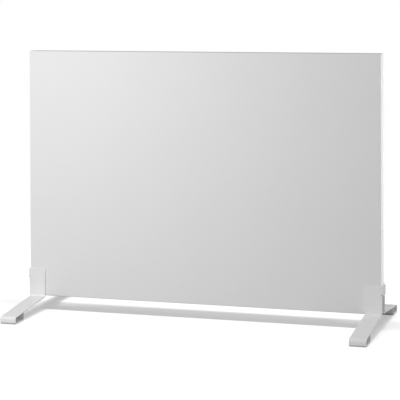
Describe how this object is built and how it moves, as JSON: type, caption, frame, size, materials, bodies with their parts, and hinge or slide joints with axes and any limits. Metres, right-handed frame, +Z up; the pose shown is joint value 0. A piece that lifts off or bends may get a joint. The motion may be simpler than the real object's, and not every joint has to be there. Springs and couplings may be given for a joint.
{
  "type": "carbon heating panel",
  "caption": "Free-standing flat carbon heating panel in white powder-coated sheet steel on folded steel feet, with a terminal box, rocker switch and cable gland at the back",
  "frame": {"origin": "on the floor, midway between the feet, under the middle of the panel", "axes": "+X across the panel towards its right-hand end as seen from the front, +Y from the front to the back, +Z up"},
  "size_m": [0.9086, 0.408, 0.655],
  "materials": {
    "powder_white": "fine-grained white powder coat, satin",
    "white_plastic": "moulded white polycarbonate, lightly grained",
    "black_plastic": "moulded black polyamide",
    "carbon": "printed carbon on polyester film",
    "insulating_film": "clear amber insulating film",
    "copper": "plain copper strip",
    "foil": "bright aluminium foil",
    "mineral_board": "pressed mineral fibre",
    "zinc_steel": "bright zinc plate",
    "brass": "plain brass",
    "rubber": "black moulded rubber",
    "lead_sleeve": "silicone sleeve"
  },
  "bodies": {
    "heater": {"front_panel": "powder_white", "back_cover": "powder_white", "foot_left": "powder_white", "foot_right": "powder_white", "insulating_sheet_front": "insulating_film", "insulating_sheet_back": "insulating_film", "carbon_film": "carbon", "reflector_foil": "foil", "insulation_board": "mineral_board", "bus_bar_left": "copper", "bus_bar_right": "copper", "mounting_rail_left": "zinc_steel", "mounting_rail_right": "zinc_steel", "threaded_insert_left_1": "zinc_steel", "threaded_insert_left_2": "zinc_steel", "threaded_insert_right_1": "zinc_steel", "threaded_insert_right_2": "zinc_steel", "foot_screw_left_1": "zinc_steel", "foot_screw_left_2": "zinc_steel", "foot_screw_right_1": "zinc_steel", "foot_screw_right_2": "zinc_steel", "foot_pad_left_front": "rubber", "foot_pad_left_back": "rubber", "foot_pad_right_front": "rubber", "foot_pad_right_back": "rubber", "thermal_cutout_left": "black_plastic", "thermal_cutout_right": "black_plastic", "terminal_box": "white_plastic", "terminal_box_lid": "white_plastic", "lid_screw_1": "zinc_steel", "lid_screw_2": "zinc_steel", "lid_screw_3": "zinc_steel", "lid_screw_4": "zinc_steel", "box_base_screw_1": "zinc_steel", "box_base_screw_2": "zinc_steel", "lead_grommet": "rubber", "terminal_block": "white_plastic", "clamp_screw_1": "brass", "clamp_screw_2": "brass", "clamp_screw_3": "brass", "clamp_screw_4": "brass", "clamp_screw_5": "brass", "clamp_screw_6": "brass", "earth_ring": "brass", "earth_screw": "zinc_steel", "lead_pole_to_switch": "lead_sleeve", "lead_switch_to_right_cutout": "lead_sleeve", "lead_pole_to_left_cutout": "lead_sleeve", "lead_left_cutout_to_bus_bar": "lead_sleeve", "lead_right_cutout_to_bus_bar": "lead_sleeve", "lead_earth": "lead_sleeve", "switch_body": "black_plastic", "switch_tab_1": "brass", "switch_tab_2": "brass", "gland_body": "white_plastic", "gland_locknut": "white_plastic", "gland_dome_nut": "white_plastic", "gland_seal": "rubber"},
    "rocker": {"rocker": "black_plastic"}
  },
  "joints": [
    {"name": "rocker_tilt", "type": "hinge", "parent": "heater", "child": "rocker", "pos_m": [0.3545, 0.031, 0.115], "axis": [0, -1, 0], "range_deg": [0, 18]}
  ]
}
